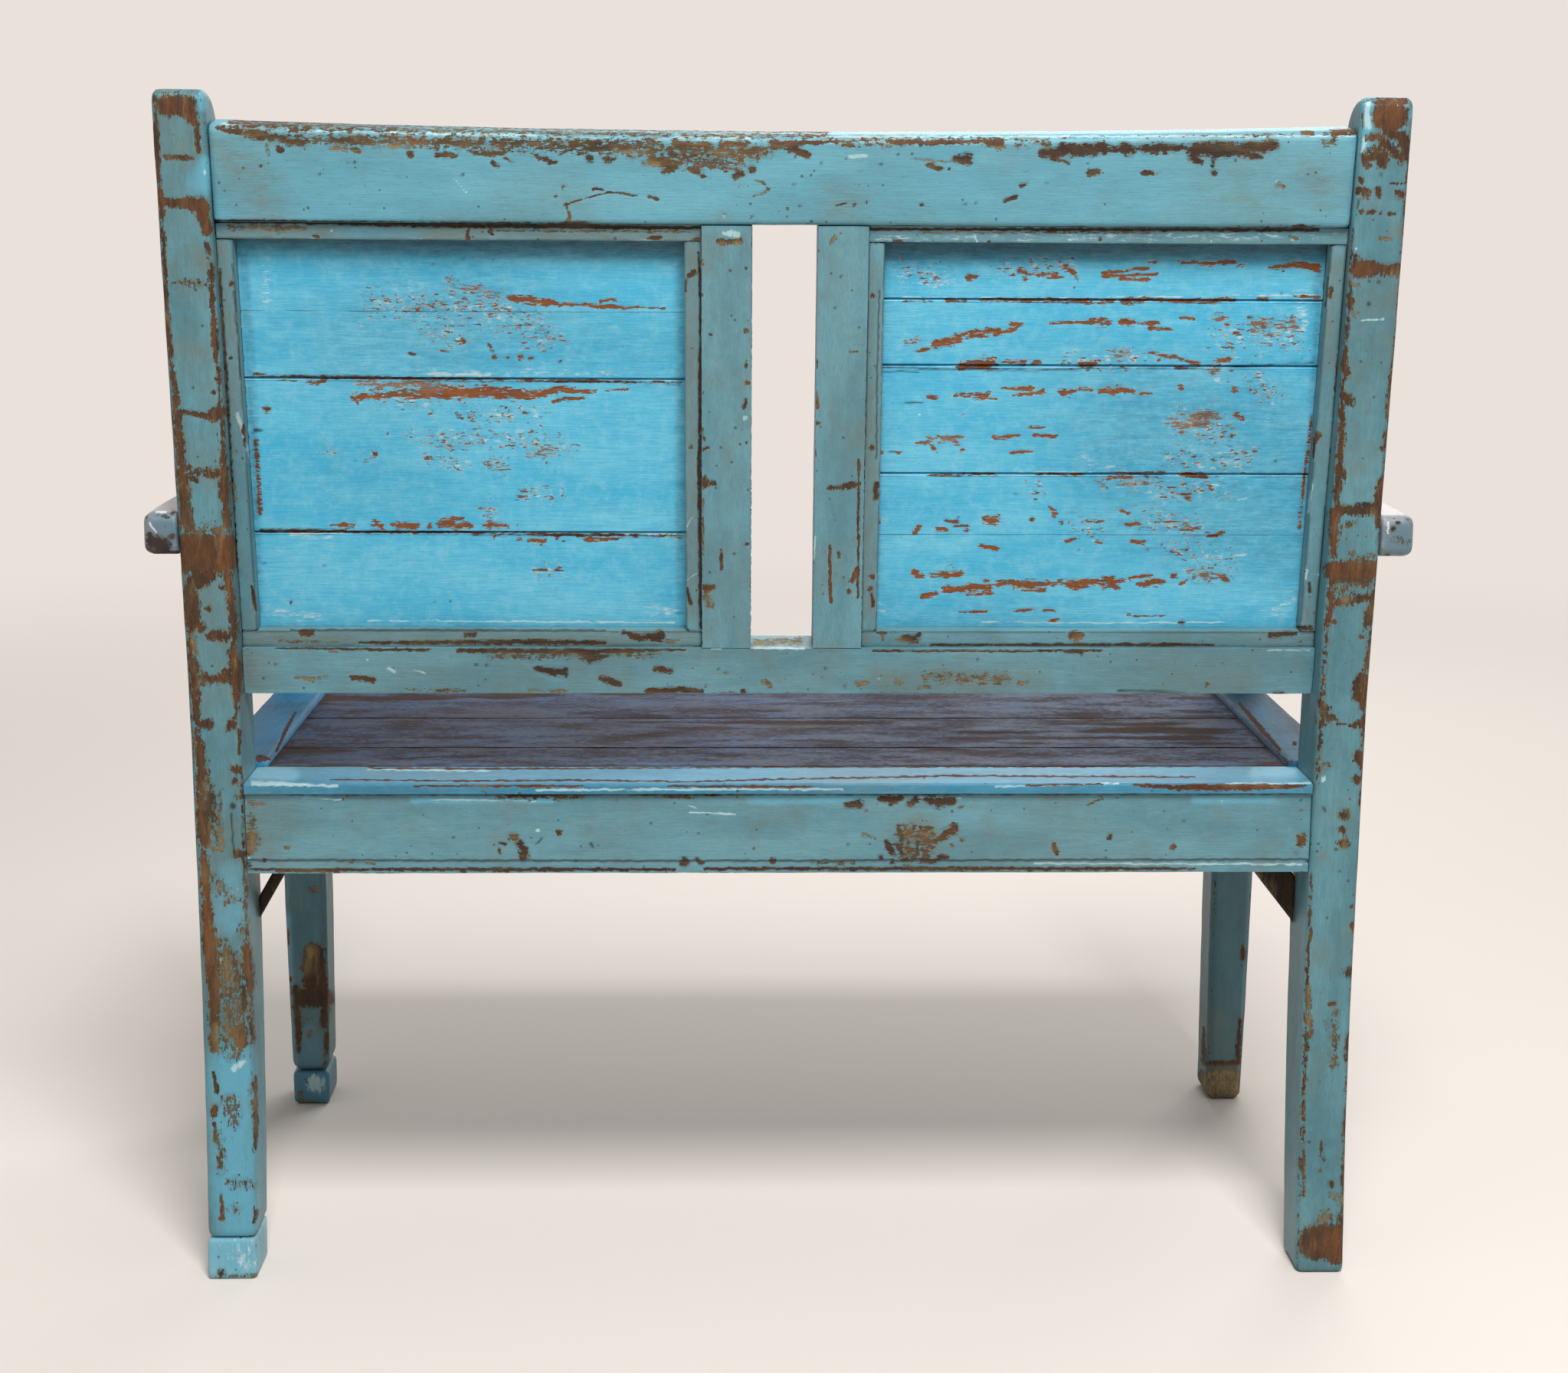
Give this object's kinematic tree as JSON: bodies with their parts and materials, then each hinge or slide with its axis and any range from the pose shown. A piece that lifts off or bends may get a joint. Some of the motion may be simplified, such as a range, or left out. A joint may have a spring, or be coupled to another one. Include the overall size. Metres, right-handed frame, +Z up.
{
  "type": "garden bench",
  "caption": "Two-seat garden bench in worn painted teak, with a boarded panel back split by a centre slot, flat arms and a planked seat.",
  "frame": {"origin": "on the floor, at the middle of the bounding box", "axes": "+Z up, -Y the way the sitter faces, +X to the sitter's left"},
  "size_m": [1.089, 0.5333, 1.034],
  "materials": {
    "frame_paint": "worn matt teal paint over teak",
    "panel_paint": "worn satin turquoise paint over teak",
    "seat_paint": "light blue paint over teak",
    "seat_wood": "weathered teak with traces of blue paint",
    "arm_paint": "pale worn paint over teak",
    "bare_teak": "unpainted teak",
    "dark_teak": "dark unpainted teak"
  },
  "bodies": {
    "root": {"rear_post_left": "frame_paint", "rear_post_right": "frame_paint", "rear_foot_left": "frame_paint", "front_leg_left": "frame_paint", "front_leg_right": "frame_paint", "front_foot_left": "frame_paint", "lower_back_rail": "frame_paint", "top_rail": "frame_paint", "back_stile_left": "frame_paint", "back_stile_right": "frame_paint", "left_panel_board_1": "panel_paint", "left_panel_board_2": "panel_paint", "left_panel_board_3": "panel_paint", "left_panel_board_4": "panel_paint", "right_panel_board_1": "panel_paint", "right_panel_board_2": "panel_paint", "right_panel_board_3": "panel_paint", "right_panel_board_4": "panel_paint", "right_panel_board_5": "panel_paint", "left_bottom_bead": "frame_paint", "left_top_bead": "frame_paint", "left_inner_bead": "frame_paint", "left_outer_bead": "frame_paint", "right_bottom_bead": "frame_paint", "right_top_bead": "frame_paint", "right_inner_bead": "frame_paint", "right_outer_bead": "frame_paint", "rear_apron": "frame_paint", "front_apron": "frame_paint", "side_rail_left": "frame_paint", "side_rail_right": "frame_paint", "seat_cleat_left": "bare_teak", "seat_cleat_right": "bare_teak", "seat_bearer": "bare_teak", "rear_seat_strip": "seat_paint", "front_seat_strip": "seat_paint", "seat_plank_1": "seat_wood", "seat_plank_2": "seat_wood", "seat_plank_3": "seat_wood", "seat_end_board_left": "seat_paint", "seat_end_board_right": "seat_paint", "arm_left": "arm_paint", "arm_right": "arm_paint", "knee_brace_left": "dark_teak", "knee_brace_right": "dark_teak"}
  },
  "joints": []
}
